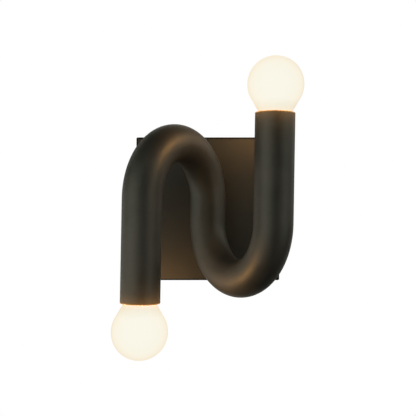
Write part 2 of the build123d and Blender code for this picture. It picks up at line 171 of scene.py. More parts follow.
class Wire:
    """An output of one node. Sums of wires become Math nodes, and node() adds any other node."""

    def __init__(self, tree, socket=None):
        self.tree = tree
        self.socket = socket

    def node(self, kind, take=0, settings=(), **inputs):
        """Add a node: its settings first, then the values or wires of its inputs. Returns one output."""
        made = self.tree.nodes.new(kind)
        for key, value in dict(settings).items():
            setattr(made, key, value)
        for key, value in inputs.items():
            socket = socket_of(made.inputs, key)
            if isinstance(value, Wire):
                self.tree.links.new(value.socket, socket)
            else:
                socket.default_value = value
        return Wire(self.tree, socket_of(made.outputs, take)) if made.outputs else None

    def math(self, operation, *values):
        """Add one Math node of these numbers or wires."""
        sockets = dict(zip(("Value", "Value_001", "Value_002"), values))
        return self.node("ShaderNodeMath", settings={"operation": operation}, **sockets)

    def mix(self, first, second):
        """A colour between two others, by this wire."""
        return self.node(
            "ShaderNodeMix", "Result_Color", {"data_type": "RGBA"},
            Factor_Float=self, A_Color=first, B_Color=second,
        )

    def ease(self, low, high):
        """From 0 where this wire is low to 1 where it is high, and held beyond."""
        return self.node("ShaderNodeMapRange", Value=self, From_Min=low, From_Max=high)

    def __abs__(self):
        return self.math("ABSOLUTE", self)

    def __add__(self, other):
        return self.math("ADD", self, other)

    def __mul__(self, other):
        return self.math("MULTIPLY", self, other)

    def __sub__(self, other):
        return self.math("SUBTRACT", self, other)

    def __rsub__(self, other):
        return self.math("SUBTRACT", other, self)

    __radd__ = __add__
    __rmul__ = __mul__


print("a wire knows", [name for name in vars(Wire) if name[0] != "_"])


# %% Open and close a finish
def new_finish(name):
    """An empty material and a wire on its node tree."""
    material = bpy.data.materials.new(name)
    material.use_nodes = True
    material.node_tree.nodes.clear()
    return material, Wire(material.node_tree)


def surface(wire, **inputs):
    """Close a finish with one Principled shader of these constants and wires."""
    wire.node("ShaderNodeOutputMaterial", Surface=wire.node("ShaderNodeBsdfPrincipled", **inputs))


def rgb(red, green, blue):
    """A colour with full cover."""
    return (red, green, blue, 1.0)


WHITE = rgb(1.0, 1.0, 1.0)
BLACK = rgb(0.0, 0.0, 0.0)
print("colours run from", BLACK, "to", WHITE)

# %% [markdown]
# ## The white room
#
# The photograph has a pure white background. A room with white walls could be built round the light, but
# an even white world is simpler and has no corners. It is white for the camera, in reflections and through
# glass, and dimmer as a lamp, so that colours render as they are written.

# %% White world
FILL = 0.3
SEES_WHITE = ("Is Camera Ray", "Is Glossy Ray", "Is Transmission Ray")
world = bpy.data.worlds.new("studio")
world.use_nodes = True
world.node_tree.nodes.clear()
bpy.context.scene.world = world
room = Wire(world.node_tree)
by_camera, by_gloss, by_glass = (room.node("ShaderNodeLightPath", ray) for ray in SEES_WHITE)
seen = room.math("MAXIMUM", by_camera, room.math("MAXIMUM", by_gloss, by_glass))
backdrop = room.node("ShaderNodeBackground", Color=WHITE, Strength=FILL + (1.0 - FILL) * seen)
room.node("ShaderNodeOutputWorld", Surface=backdrop)
print("world: white to see,", FILL, "as a lamp")

# %% [markdown]
# ## Floor and dark cards
#
# Dark metal in a white room mirrors white from all sides and looks flat. The metal could be made darker,
# but then it would lose its shape, so a photographer stands dark cards where it should look deep: behind
# the camera, above and below the light, low on the right, high on the left, and two grey ones behind it.
# What stays white between them draws the long soft stripes on the legs. The cards show in reflections
# only, so they shade nothing. The floor lies well below the light, as in a room, and glows a little for
# the camera alone, so that it melts into the white.

# %% Stand the floor and the cards
UP = Vector((0.0, 0.0, 1.0))
RIGHT = Vector((1.0, 0.0, 0.0))
WALLWARD = Vector((0.0, 1.0, 0.0))
MATT = 0.9


def plain_plane(name, centre, facing, width, height, shade, glow=0.0):
    """A flat stage piece of one grey, turned to face a direction, that glows for the camera alone."""
    bpy.ops.object.select_all(action="DESELECT")
    bpy.ops.mesh.primitive_plane_add(size=1.0, location=centre)
    plane = bpy.context.active_object
    plane.name = name
    plane.scale = (width, height, 1.0)
    plane.rotation_euler = facing.to_track_quat("Z", "Y").to_euler()
    material, wire = new_finish(name)
    surface(
        wire, Base_Color=rgb(shade, shade, shade), Roughness=MATT, Specular_IOR_Level=0.0,
        Emission_Color=wire.node("ShaderNodeLightPath", "Is Camera Ray").mix(BLACK, WHITE),
        Emission_Strength=glow,
    )
    plane.data.materials.append(material)
    plane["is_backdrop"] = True
    return plane


floor = plain_plane("floor", (0.0, -0.1, -0.9), UP, 2.6, 2.6, shade=0.82, glow=0.72)
cards = [
    plain_plane("front_card", (0.4, -1.5, 0.0), WALLWARD, 1.5, 2.4, shade=0.05),
    plain_plane("left_back_card", (-0.75, 1.2, 0.0), -WALLWARD, 0.7, 2.0, shade=0.2),
    plain_plane("right_back_card", (0.7, 1.2, 0.0), -WALLWARD, 0.6, 2.0, shade=0.2),
    plain_plane("right_low_card", (1.7, 0.4, -0.5), -RIGHT, 1.9, 1.2, shade=0.05),
    plain_plane("left_high_card", (-1.75, 0.55, 0.8), RIGHT, 1.3, 1.1, shade=0.05),
    plain_plane("top_card", (0.05, -0.1, 1.1), -UP, 2.5, 2.0, shade=0.05),
    plain_plane("low_card", (0.3, -0.6, -0.85), UP, 2.6, 2.2, shade=0.03),
]
for card in cards:
    card.visible_camera = False
    card.visible_diffuse = False
    card.visible_shadow = False
print("stage:", floor.name, [card.name for card in cards])

# %% [markdown]
# ## The soft lamp
#
# The photograph is lit a little more from the left. A small lamp or a sun would draw hard edges on the
# round tube, so the lamp is a wide soft square, which fades gently round it.

# %% Hang the soft lamp
KEY_PLACE = Vector((-1.6, -1.2, 0.1))
KEY_SIZE = 1.2
KEY_POWER = 2.6
key_data = bpy.data.lights.new("key_lamp", "AREA")
key_data.size = KEY_SIZE
key_data.energy = KEY_POWER
key = bpy.data.objects.new("key_lamp", key_data)
key.location = KEY_PLACE
key.rotation_euler = (-KEY_PLACE).to_track_quat("-Z", "Y").to_euler()
bpy.context.scene.collection.objects.link(key)
print("soft lamp at", in_mm(KEY_PLACE), "mm")

# %% [markdown]
# ## Edges in the bronze
#
# A fine dark line of painted shade frames the plate's front, where its sheet is folded, and the two rims of
# the tube are painted a lighter warm bronze, a painted highlight for the bulbs' glow on them. Each could be
# a thin piece of its own, but it is only a change of colour. So two masks find them by their place: the
# folded edges by their distance from the plate's edges, and the rims by their level along the legs.

# %% Find the folds and the rims
# Where the painted shade runs along the plate's folded edges:
SHADE_BAND_WIDTH = (1.8 * MM, 1.1 * MM)
SHADE_BAND_DEPTH = (1.2 * MM, 0.8 * MM)
# Where the painted highlight runs at the tube's rims:
HIGHLIGHT_BAND_WIDTH = (1.1 * MM, 0.6 * MM)
plate_low, plate_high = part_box("wall_plate")
rim_level = rim.dot(out)


def painted_fold_shade(place):
    """1 along the edges of the plate's front, where shade is painted, and 0 elsewhere."""
    x, y, z = (place.node("ShaderNodeSeparateXYZ", axis, Vector=place) for axis in "XYZ")
    aside = place.math("MAXIMUM", abs(x), abs(z))
    at_edge = aside.ease(*(plate_high.x - width for width in SHADE_BAND_WIDTH))
    at_front = y.ease(*(plate_low.y + depth for depth in SHADE_BAND_DEPTH))
    return at_edge * at_front


def painted_rim_highlight(place):
    """1 along the rims of the tube, where a highlight is painted, and 0 elsewhere."""
    level = place.node(
        "ShaderNodeVectorMath", "Value", {"operation": "DOT_PRODUCT"}, Vector=place, Vector_001=tuple(out)
    )
    return abs(level).ease(*(rim_level - width for width in HIGHLIGHT_BAND_WIDTH))


print("the plate's edge and the rims are at", in_mm((plate_high.x, rim_level)), "mm")

# %% [markdown]
# ## Bronze
#
# The tube and the plate are steel with a dark bronze finish: a rubbed coating, part metal and part
# lacquer, with soft clouds of green-grey and brown, under a satin sheen. A pure metal would be simpler,
# but it would stay black beside the bulbs. The coating has a faint colour of its own, which is what picks
# up their warm glow. The same recipe, with other colours and scales, serves most of the other finishes.

# %% Clouded finishes
CLOUD_DETAIL = 4.0
CLOUD_RANGE = (0.35, 0.65)
GRAIN_FINENESS = 60.0
GRAIN_DETAIL = 2.0
GRAIN_SHARE = 0.8
BUMP_DEPTH = 0.2 * MM
# Painted shade: a near-black painted on the plate's folded edges, made duller too, in place of the shade
# there.
PAINTED_SHADE_COLOUR = rgb(0.010, 0.007, 0.004)
PAINTED_SHADE_DULLING = 0.25
# Painted highlight: a light warm bronze painted on the tube's rims, in place of the bulbs' glow on them.
PAINTED_HIGHLIGHT_COLOUR = rgb(0.22, 0.15, 0.05)
finishes = {}


def clouded(
    name, dark, light, scale, roughness, patchy=0.1, bump=0.03, metallic=0.0,
    shade_edges=None, highlight_edges=None, **constants,
):
    """Two colours in soft clouds, patchy roughness and a fine grain, with painted shade on edges or a
    painted highlight on rims.
    """
    material, wire = new_finish(name)
    place = wire.node("ShaderNodeTexCoord", "Object")
    clouds = wire.node("ShaderNodeTexNoise", Vector=place, Scale=scale, Detail=CLOUD_DETAIL)
    grain = wire.node("ShaderNodeTexNoise", Vector=place, Scale=GRAIN_FINENESS * scale, Detail=GRAIN_DETAIL)
    colour = clouds.ease(*CLOUD_RANGE).mix(dark, light)
    uneven = clouds + GRAIN_SHARE * grain - 0.5 * (1.0 + GRAIN_SHARE)
    dull = roughness + patchy * uneven
    # Painted shade on the plate's folded edges: darker, duller and fully metallic there.
    if shade_edges:
        shade_here = shade_edges(place)
        colour = shade_here.mix(colour, PAINTED_SHADE_COLOUR)
        dull = dull + PAINTED_SHADE_DULLING * shade_here
        metallic = metallic + (1.0 - metallic) * shade_here
    # Painted highlight on the tube's rims: a lighter warm bronze there.
    if highlight_edges:
        colour = highlight_edges(place).mix(colour, PAINTED_HIGHLIGHT_COLOUR)
    surface(
        wire, Base_Color=colour, Metallic=metallic, Roughness=dull,
        Normal=wire.node("ShaderNodeBump", Strength=bump, Distance=BUMP_DEPTH, Height=grain), **constants,
    )
    finishes[name] = material


print("the grain is", GRAIN_FINENESS, "times as fine as the clouds")

# %% Bronze finishes
BRONZE_SHEEN = rgb(1.0, 0.97, 0.88)
# The tube's rims carry a painted highlight.
clouded(
    "tube_bronze", rgb(0.054, 0.055, 0.042), rgb(0.082, 0.078, 0.060), scale=22.0, roughness=0.53,
    patchy=0.16, metallic=0.7, highlight_edges=painted_rim_highlight, Specular_Tint=BRONZE_SHEEN,
)
# The plate's folded edges carry a painted shade.
clouded(
    "plate_bronze", rgb(0.042, 0.043, 0.033), rgb(0.050, 0.051, 0.040), scale=16.0, roughness=0.52,
    metallic=0.5, shade_edges=painted_fold_shade, Specular_Tint=BRONZE_SHEEN,
)
print("bronze:", sorted(finishes))

# %% [markdown]
# ## Other metals
#
# Inside, bright zinc plate covers the strap, the nipples and the nuts. Zinc freezes in flat grains that
# each shine a little differently. One even grey would look like plastic, so a cell pattern sets the grey
# and the roughness of each grain. The lamp shells are brass, the caps nickel, the tips solder, and the two
# screws in the plate's sides are blackened.

# %% Spangled finishes
CELL_SHARE = 0.3
CELL_DULLING = 0.15
WEAR_DETAIL = 3.0
WEAR_BUMP = 0.05


def spangled(name, dark, light, scale, roughness):
    """Plated metal whose flat grains differ a little in grey and in shine."""
    material, wire = new_finish(name)
    place = wire.node("ShaderNodeTexCoord", "Object")
    cells = wire.node("ShaderNodeTexVoronoi", "Color", Vector=place, Scale=scale)
    wear = wire.node("ShaderNodeTexNoise", Vector=place, Scale=scale, Detail=WEAR_DETAIL)
    tone = (1.0 - CELL_SHARE) * wear + CELL_SHARE * wire.node("ShaderNodeRGBToBW", Color=cells)
    surface(
        wire, Base_Color=tone.mix(dark, light), Metallic=1.0, Roughness=roughness + CELL_DULLING * tone,
        Normal=wire.node("ShaderNodeBump", Strength=WEAR_BUMP, Distance=BUMP_DEPTH, Height=wear),
    )
    finishes[name] = material


spangled("zinc_steel", rgb(0.42, 0.43, 0.45), rgb(0.70, 0.71, 0.72), scale=320.0, roughness=0.26)
spangled("green_screw", rgb(0.02, 0.16, 0.05), rgb(0.05, 0.32, 0.11), scale=500.0, roughness=0.30)
print("with plated metals:", len(finishes), "finishes")

# %% Plain metal finishes
clouded(
    "dark_screw", rgb(0.030, 0.027, 0.023), rgb(0.052, 0.045, 0.037), scale=300.0, roughness=0.40,
    metallic=0.8,
)
clouded(
    "brass", rgb(0.52, 0.35, 0.13), rgb(0.76, 0.56, 0.25), scale=180.0, roughness=0.30, metallic=1.0,
)
clouded(
    "nickel_cap", rgb(0.52, 0.50, 0.46), rgb(0.70, 0.68, 0.64), scale=200.0, roughness=0.24, metallic=1.0,
)
clouded(
    "solder_tip", rgb(0.40, 0.40, 0.39), rgb(0.62, 0.62, 0.60), scale=600.0, roughness=0.42, metallic=1.0,
)
print("with plain metals:", len(finishes), "finishes")

# %% [markdown]
# ## Plastics, coatings and glass
#
# The sockets are black phenolic with a faint speckle, the leads have smooth insulation and the twist-on
# connectors are shiny orange plastic. The bulbs' stems are clear glass, their filaments are coated with
# phosphor and the plug in each cap is black glass. A single colour could do for each, but a little cloud in
# the colour and in the shine is what tells them from a toy.

# %% Other finishes
clouded(
    "phenolic", rgb(0.012, 0.012, 0.012), rgb(0.034, 0.032, 0.030), scale=900.0, roughness=0.38,
)
clouded(
    "black_insulation", rgb(0.012, 0.012, 0.013), rgb(0.026, 0.026, 0.027), scale=240.0, roughness=0.44,
)
clouded(
    "white_insulation", rgb(0.70, 0.70, 0.67), rgb(0.80, 0.80, 0.78), scale=240.0, roughness=0.42,
)
clouded(
    "connector_plastic", rgb(0.62, 0.17, 0.02), rgb(0.74, 0.25, 0.04), scale=160.0, roughness=0.30,
)
clouded(
    "phosphor", rgb(0.80, 0.56, 0.12), rgb(0.92, 0.72, 0.24), scale=900.0, roughness=0.65, bump=0.2,
)
clouded(
    "black_glass", rgb(0.008, 0.008, 0.010), rgb(0.022, 0.022, 0.026), scale=400.0, roughness=0.14,
)
clouded(
    "clear_glass", rgb(0.86, 0.90, 0.89), rgb(0.94, 0.96, 0.95), scale=120.0, roughness=0.08, patchy=0.04,
    Transmission_Weight=1.0, IOR=1.5,
)
print("with plastics and glass:", len(finishes), "finishes")

# %% [markdown]
# ## Opal glass
#
# A lit opal globe is one even glow, a little warmer where the glass is seen edge on and where the globe
# narrows into the dark mouth of the tube. Light could be sent through the glass from a lamp inside, but
# that is slow and grainy, so the glow is an emission. It warms towards the mouth, by the height on the
# light, and a thin tinted coat warms the edge, because a ray that leaves at a slant passes through more
# of it.

# %% Opal finish
MOUTH_BELOW = 1.0 * MM
CLEAR_ABOVE = 13.0 * MM
MOUTH_GLOW = rgb(0.775, 0.78, 0.66)
CLEAR_GLOW = rgb(0.916, 0.944, 0.888)
MILK_SCALE = 60.0
MILK_DETAIL = 2.0
MILK_RISE = 4.0 * MM
MILK_DULLING = 0.05
finishes["opal_glass"], opal = new_finish("opal_glass")
place = opal.node("ShaderNodeTexCoord", "Object")
milk = opal.node("ShaderNodeTexNoise", Vector=place, Scale=MILK_SCALE, Detail=MILK_DETAIL)
height = abs(opal.node("ShaderNodeSeparateXYZ", "Z", Vector=place)) + MILK_RISE * milk
clearness = height.ease(abs(rim.z) - MOUTH_BELOW, abs(rim.z) + CLEAR_ABOVE)
surface(
    opal, Base_Color=rgb(0.12, 0.11, 0.09), Roughness=0.28 + MILK_DULLING * milk, Specular_IOR_Level=0.0,
    Emission_Color=clearness.mix(MOUTH_GLOW, CLEAR_GLOW), Emission_Strength=1.0,
    Coat_Weight=1.0, Coat_Roughness=0.3, Coat_IOR=1.05, Coat_Tint=rgb(1.0, 0.95, 0.89),
)
print("all", len(finishes), "finishes:", sorted(finishes))

# %% [markdown]
# ## Working by hand, in code
#
# Every new piece starts as a primitive and is shaped with the same tools that a person would click. An
# operator acts on whatever is selected, so each piece starts with everything deselected. Its place is then
# put into its mesh, so that patterns lie on it as they do on the solids.


# %% Select, apply and add
def only(piece):
    """Select one piece by itself and make it active."""
    bpy.ops.object.select_all(action="DESELECT")
    piece.select_set(True)
    bpy.context.view_layer.objects.active = piece


def settle(piece):
    """Put a piece's place into its mesh."""
    only(piece)
    bpy.ops.object.transform_apply(location=True, rotation=True, scale=True)


def add(primitive, name, **settings):
    """Add a primitive by itself, with its place in its mesh."""
    bpy.ops.object.select_all(action="DESELECT")
    getattr(bpy.ops.mesh, f"primitive_{primitive}_add")(**settings)
    piece = bpy.context.active_object
    piece.name = name
    settle(piece)
    return piece


print("selected at the start:", len(bpy.context.selected_objects))

# %% [markdown]
# ## Picking edges and faces
#
# By hand one clicks the edges to work on. In code they could be picked by their numbers, but those change
# with every cut, so here they are picked by their place. Leaving edit mode merges doubles and turns the
# faces outwards.

# %% Edit and pick
TOUCH = 0.001 * MM
SAME_HEIGHT = 10 * TOUCH


def edit(piece):
    """Go into edit mode on one piece, with all of it selected."""
    only(piece)
    bpy.ops.object.mode_set(mode="EDIT")
    bpy.ops.mesh.select_all(action="SELECT")


def done():
    """Merge doubles, turn the faces outwards and leave edit mode."""
    bpy.ops.mesh.select_all(action="SELECT")
    bpy.ops.mesh.remove_doubles(threshold=TOUCH)
    bpy.ops.mesh.normals_make_consistent(inside=False)
    bpy.ops.object.mode_set(mode="OBJECT")


def choose(piece, test):
    """Select the edges and faces whose points all pass a test of their place."""
    bpy.ops.mesh.select_all(action="DESELECT")
    mesh = bmesh.from_edit_mesh(piece.data)
    for edge in mesh.edges:
        if all(test(point.co) for point in edge.verts):
            edge.select_set(True)
    mesh.select_flush(True)
    bmesh.update_edit_mesh(piece.data)


def at_height(height):
    """The test for points at one height."""
    return lambda place: abs(place.z - height) < SAME_HEIGHT


def choose_ends():
    """Select every open ring."""
    bpy.ops.mesh.select_all(action="DESELECT")
    bpy.ops.mesh.select_non_manifold()


print("points closer than", TOUCH / MM, "mm are merged")

# %% [markdown]
# ## Drawing out and rounding
#
# Most small parts of a light are turned, drawn or rolled, so they are round about an axis. They are
# modelled upright at the origin, where their heights are easy to read: a ring or a face is drawn upwards
# and widened or narrowed, and an edge is rounded with a bevel.


# %% Draw, widen and round
def extrude(step):
    """Extrude what is selected along a vector."""
    bpy.ops.mesh.extrude_region_move(TRANSFORM_OT_translate={"value": step})


def widen(factor, tall=1.0, about=0.0):
    """Scale what is selected about the upright axis, and along it about a height."""
    bpy.ops.transform.resize(value=(factor, factor, tall), center_override=(0.0, 0.0, about))


def draw_out(lift, factor=1.0):
    """Extrude the selected ring or face upwards, and widen or narrow it."""
    extrude(UP * lift)
    widen(factor)


def round_edge(piece, height, width, segments):
    """Round the edges of a piece at one height."""
    edit(piece)
    choose(piece, at_height(height))
    bpy.ops.mesh.bevel(offset=width, segments=segments)
    done()


print("upright axis:", list(UP))

# %% [markdown]
# ## Walls, cuts and shading
#
# Thin sheet is drawn as a bare surface and gets its wall last, so that inside and outside keep the same
# distance. Holes are cut with a tool piece, as on a drill press. Every modifier is applied at once, because
# the finished mesh is what is kept.


# %% Apply modifiers
def shape(piece, kind, **settings):
    """Add a modifier and apply it at once."""
    modifier = piece.modifiers.new(kind.lower(), kind)
    for key, value in settings.items():
        setattr(modifier, key, value)
    bpy.context.view_layer.objects.active = piece
    bpy.ops.object.modifier_apply(modifier=modifier.name)


def thicken(piece, wall):
    """Give a bare surface its wall, inwards."""
    shape(piece, "SOLIDIFY", thickness=wall, offset=-1.0)


def cut(piece, tool, operation="DIFFERENCE"):
    """Cut a piece with a tool, and put the tool away."""
    shape(piece, "BOOLEAN", object=tool, operation=operation, solver="EXACT")
    bpy.data.objects.remove(tool)


def smooth(piece, degrees=35.0):
    """Smooth shading, with edges sharper than an angle kept."""
    only(piece)
    bpy.ops.object.shade_smooth_by_angle(angle=math.radians(degrees))


# %% [markdown]
# ## Carrying and copying
#
# A piece that was modelled upright is carried to its place, with its axis and one side turned as on the
# light. What the light has twice is modelled once and copied, each copy with a mesh of its own.

# %% Carry, copy and join
HALF_TURN = Matrix.Rotation(math.pi, 4, "Y")


def stand(piece, foot, axis, side=None):
    """Carry a piece that was modelled upright to its place, with its X towards one side."""
    side = side or axis.orthogonal()
    side = (side - axis * side.dot(axis)).normalized()
    turn = Matrix((side, axis.cross(side), axis)).transposed()
    piece.matrix_world = Matrix.Translation(foot) @ turn.to_4x4()
    settle(piece)


def copied(piece, name, move):
    """A copy with its own mesh, moved as a whole."""
    other = piece.copy()
    other.data = piece.data.copy()
    other.name = name
    bpy.context.scene.collection.objects.link(other)
    other.matrix_world = move @ piece.matrix_world
    settle(other)
    return other


def join(piece, *others):
    """Make several pieces one."""
    only(piece)
    for other in others:
        other.select_set(True)
    bpy.ops.object.join()


def pair(piece, move):
    """Make a piece and its moved copy one."""
    join(piece, copied(piece, f"{piece.name}_copy", move))


print("half a turn takes", in_mm(rim), "to", in_mm(HALF_TURN @ rim))

# %% [markdown]
# ## Taking a solid's place
#
# A finished piece hides the solid that it stands for. Its body and its finish could be given again here,
# but the record already says which body carries each solid and which finish it has, so the new piece
# takes both from there.

# %% Seat a piece
slot_of = {part["node"]: part["material_slot"] for part in frame["record"]["subparts"]}
body_of = {node: body for body, group in frame["record"]["behaviour"]["bodies"].items() for node in group}


def seat(piece, node):
    """Put a finished piece on its solid's body, in its place and with its finish."""
    piece.data.materials.clear()
    piece.data.materials.append(finishes[slot_of[node]])
    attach(piece, body_of[node])
    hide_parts(node)
    print(piece.name, "has", len(piece.data.polygons), "faces and stands for", node)


def seat_lamps(piece, word, part):
    """Seat a piece of the lower lamp, and its copy turned half round onto the upper lamp."""
    twin = copied(piece, f"{word}_upper", HALF_TURN)
    piece.name = f"{word}_lower"
    seat(piece, f"{part}_lower")
    seat(twin, f"{part}_upper")


print("finishes that the record asks for:", sorted(set(slot_of.values())))

# %% [markdown]
# ## The serpentine tube
#
# One length of tube makes the whole figure. A curve with a round section could follow it, but then the
# places of its rings would be left to the curve. So it is drawn the way a bender would feed it: a ring is
# pushed along the lower leg, swung through the first half circle, pushed along the middle, swung through
# the second, and pushed up the other leg. Spin keeps every ring square to the tube. The wall is given its
# thickness afterwards, and the rims are broken with a small round.

# %% Measure the tube's line
TUBE_R = 18.0 * MM
BEND_R = 54.0 * MM
HALF_MIDDLE = 10.0 * MM
BEND_DROP = 2.5 * MM
along = outs["upper"]
middle = Vector((0.0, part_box("serpentine_tube")[1].y - TUBE_R, 0.0))
leg_end = (rim - middle).dot(along)
reach = (rim - middle - along * leg_end).normalized()
across = reach.cross(along)
lower_leg = HALF_MIDDLE - leg_end - BEND_DROP
upper_leg = HALF_MIDDLE - leg_end + BEND_DROP
bend_middle = middle - along * BEND_DROP
bend_offset = reach * BEND_R + along * HALF_MIDDLE
print("legs and middle", in_mm((lower_leg, upper_leg, 2 * HALF_MIDDLE)), "mm")
print("bends swung out by", round(math.degrees(math.asin(-reach.y)), 1), "degrees")

# %% Feed and bend the tube
TUBE_SIDES = 96
LEG_STEPS = 12
MIDDLE_STEPS = 2
BEND_STEPS = 48
turn_back = HALF_TURN.to_3x3()


def feed(length, steps):
    """Push the ring along the straight of the tube."""
    for step in range(steps):
        extrude(along * (length / steps))


def bend(axis, centre):
    """Swing the ring through half a circle."""
    bpy.ops.mesh.spin(steps=BEND_STEPS, angle=math.pi, axis=axis, center=centre)


tube = add("circle", "bent_tube", vertices=TUBE_SIDES, radius=TUBE_R)
stand(tube, rim, along)
edit(tube)
feed(lower_leg, LEG_STEPS)
bend(-across, bend_middle + bend_offset)
feed(-2 * HALF_MIDDLE, MIDDLE_STEPS)
bend(turn_back @ across, bend_middle + turn_back @ bend_offset)
feed(upper_leg, LEG_STEPS)
done()
print("bare tube:", len(tube.data.polygons), "faces")

# %% Give the tube its wall
TUBE_WALL = 1.5 * MM
RIM_ROUND = 0.2 * MM
RIM_ANGLE = math.radians(60.0)
thicken(tube, TUBE_WALL)
shape(tube, "BEVEL", width=RIM_ROUND, segments=4, limit_method="ANGLE", angle_limit=RIM_ANGLE)
smooth(tube)
seat(tube, "serpentine_tube")
print("tube box", in_mm(tube.bound_box[0]), in_mm(tube.bound_box[6]))
print("solid box", *(in_mm(corner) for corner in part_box("serpentine_tube")))

# %% [markdown]
# ## The globe bulbs
#
# A glassblower starts with a ball and draws its neck out. The bulb could be a turned outline too, but the
# ball keeps even faces where it is seen most. So a sphere is cut where the cone touches it, the open ring
# is pulled down to the neck, the bend there is eased with a bevel, and the thin wall comes last. The globe
# turns and rises with its cap when the bulb is unscrewed.

# %% Measure the globes
NECK_ANGLE = math.radians(30.0)
NECK_R = 5.2 * MM
globe_low, globe_high, globe_r = lamp_span("bulb_globe")
globe_level = globe_high - globe_r
cone_r = globe_r * math.cos(NECK_ANGLE)
cone_top = globe_level - globe_r * math.sin(NECK_ANGLE)
cone_foot = cone_top - (cone_r - NECK_R) / math.tan(NECK_ANGLE)
print("globe, cone top and cone foot at", in_mm((globe_level, cone_top, cone_foot)), "mm from the rim")

# %% Blow the globes
NECK_EASE = 2.4 * MM
GLASS = 0.8 * MM
globe = add(
    "uv_sphere", "opal_globe", segments=96, ring_count=64, radius=globe_r, location=UP * globe_level
)
edit(globe)
bpy.ops.mesh.bisect(plane_co=UP * cone_top, plane_no=UP, clear_inner=True)
choose_ends()
draw_out(cone_foot - cone_top, NECK_R / cone_r)
draw_out(globe_low - cone_foot)
choose(globe, at_height(cone_foot))
bpy.ops.mesh.bevel(offset=NECK_EASE, segments=6)
done()
thicken(globe, GLASS)
smooth(globe, degrees=50.0)
stand(globe, rim, out)
seat_lamps(globe, "opal_globe", "bulb_globe")

# %% [markdown]
# ## The bulbs' light
#
# A picture can't be brighter than white, so the glow that the camera sees is far weaker than the light
# that a real bulb throws on the bronze. A stronger glow would turn the globes flat white, so two warm lamps
# in each bulb throw the light instead. A ball low in the tube's mouth gives the long brown highlights on
# the bends, while the rim keeps its light off the middle of the tube. A disc at the rim, which no
# reflection shows, gives the glow beside it. The lamps light everything but their own globe, and they ride
# on the bulb's body, so the glow follows when the bulb is unscrewed.

# %% Light the bulbs
WARM = (1.0, 0.50, 0.18)
BALL_POWER = 0.46
BALL_R = 16.0 * MM
BALL_LEVEL = 6.0 * MM
DISC_POWER = 0.11
DISC_OVERHANG = 10.0 * MM
DISC_LEVEL = 0.6 * MM


def warm_lamp(end, data, power, level, apart):
    """A warm lamp at one level of a bulb, which rides with it and lights all but what is set apart."""
    data.color = WARM
    data.energy = power
    lamp = bpy.data.objects.new(data.name, data)
    lamp.location = rims[end] + outs[end] * level
    lamp.rotation_euler = (-outs[end]).to_track_quat("-Z", "Y").to_euler()
    lamp.visible_camera = False
    lamp.light_linking.receiver_collection = apart
    lamp.light_linking.blocker_collection = apart
    lamp.parent = frame["bodies"][f"{end}_bulb"]
    bpy.context.scene.collection.objects.link(lamp)
    return lamp


for end in ENDS:
    apart = bpy.data.collections.new(f"{end}_globe_apart")
    apart.objects.link(bpy.data.objects[f"opal_globe_{end}"])
    apart.collection_objects[0].light_linking.link_state = "EXCLUDE"
    ball_data = bpy.data.lights.new(f"{end}_ball_light", "POINT")
    ball_data.shadow_soft_size = BALL_R
    ball_data.use_soft_falloff = False
    ball = warm_lamp(end, ball_data, BALL_POWER, BALL_LEVEL, apart)
    disc_data = bpy.data.lights.new(f"{end}_disc_light", "AREA")
    disc_data.shape = "DISK"
    disc_data.size = 2 * (TUBE_R + DISC_OVERHANG)
    disc = warm_lamp(end, disc_data, DISC_POWER, DISC_LEVEL, apart)
    disc.visible_glossy = False
    print(end, "bulb has", ball.name, "and", disc.name)

# %% [markdown]
# ## Threads
#
# A thread could be carved as a groove along a helix, but there is a simpler way, close to how rolled lamp
# threads look: a ring is set a little off its axis and screwed upwards. Its high side then climbs round
# the axis and makes one rounded thread. The ends are drawn back onto the axis afterwards.

# %% Screw a ring upwards
THREAD_SIDES = 48
THREAD_STEPS = 20


def threaded(name, radius, depth, pitch, turns, foot=0.0):
    """A threaded sleeve of a largest radius, standing at a height."""
    aside = depth / 2
    sleeve = add("circle", name, vertices=THREAD_SIDES, radius=radius - aside, location=(aside, 0.0, foot))
    shape(
        sleeve, "SCREW", axis="Z", screw_offset=pitch, iterations=turns,
        steps=THREAD_STEPS, render_steps=THREAD_STEPS,
    )
    return sleeve


print("a turn of thread has", THREAD_SIDES * THREAD_STEPS, "faces")

# %% [markdown]
# ## Bulb caps and their shells
#
# Each bulb has a small nickel screw cap, rolled from thin sheet: a skirt round the glass, three turns of
# thread and a turned-in end. It screws into a brass shell in the socket. They could be modelled one by
# one, but both are the same screwed ring, with its ends drawn out and a thin wall, so one function rolls
# them.

# %% Roll a sleeve
LAMP_PITCH = 2.54 * MM
SHEET = 0.2 * MM


def rolled(part, radius, depth, turns, top, foot_end):
    """A sleeve whose thread runs out to a plain top ring and a drawn-in foot, as thin sheet."""
    low, high = lamp_span(part)[:2]
    top_length, top_r = top
    foot_length, foot_r = foot_end
    ring_r = radius - depth / 2
    run_out = (high - low - top_length - foot_length - turns * LAMP_PITCH) / 2
    foot = low + foot_length + run_out
    sleeve = threaded(part, radius, depth, LAMP_PITCH, turns, foot)
    edit(sleeve)
    choose(sleeve, at_height(foot + turns * LAMP_PITCH))
    extrude((-depth / 2, 0.0, run_out))
    draw_out(0.0, top_r / ring_r)
    draw_out(top_length)
    choose(sleeve, at_height(foot))
    extrude((-depth / 2, 0.0, -run_out))
    draw_out(-foot_length, foot_r / ring_r)
    done()
    thicken(sleeve, SHEET)
    smooth(sleeve, degrees=50.0)
    stand(sleeve, rim, out)
    return sleeve


print("lamp thread:", LAMP_PITCH / MM, "mm a turn, in sheet of", SHEET / MM, "mm")

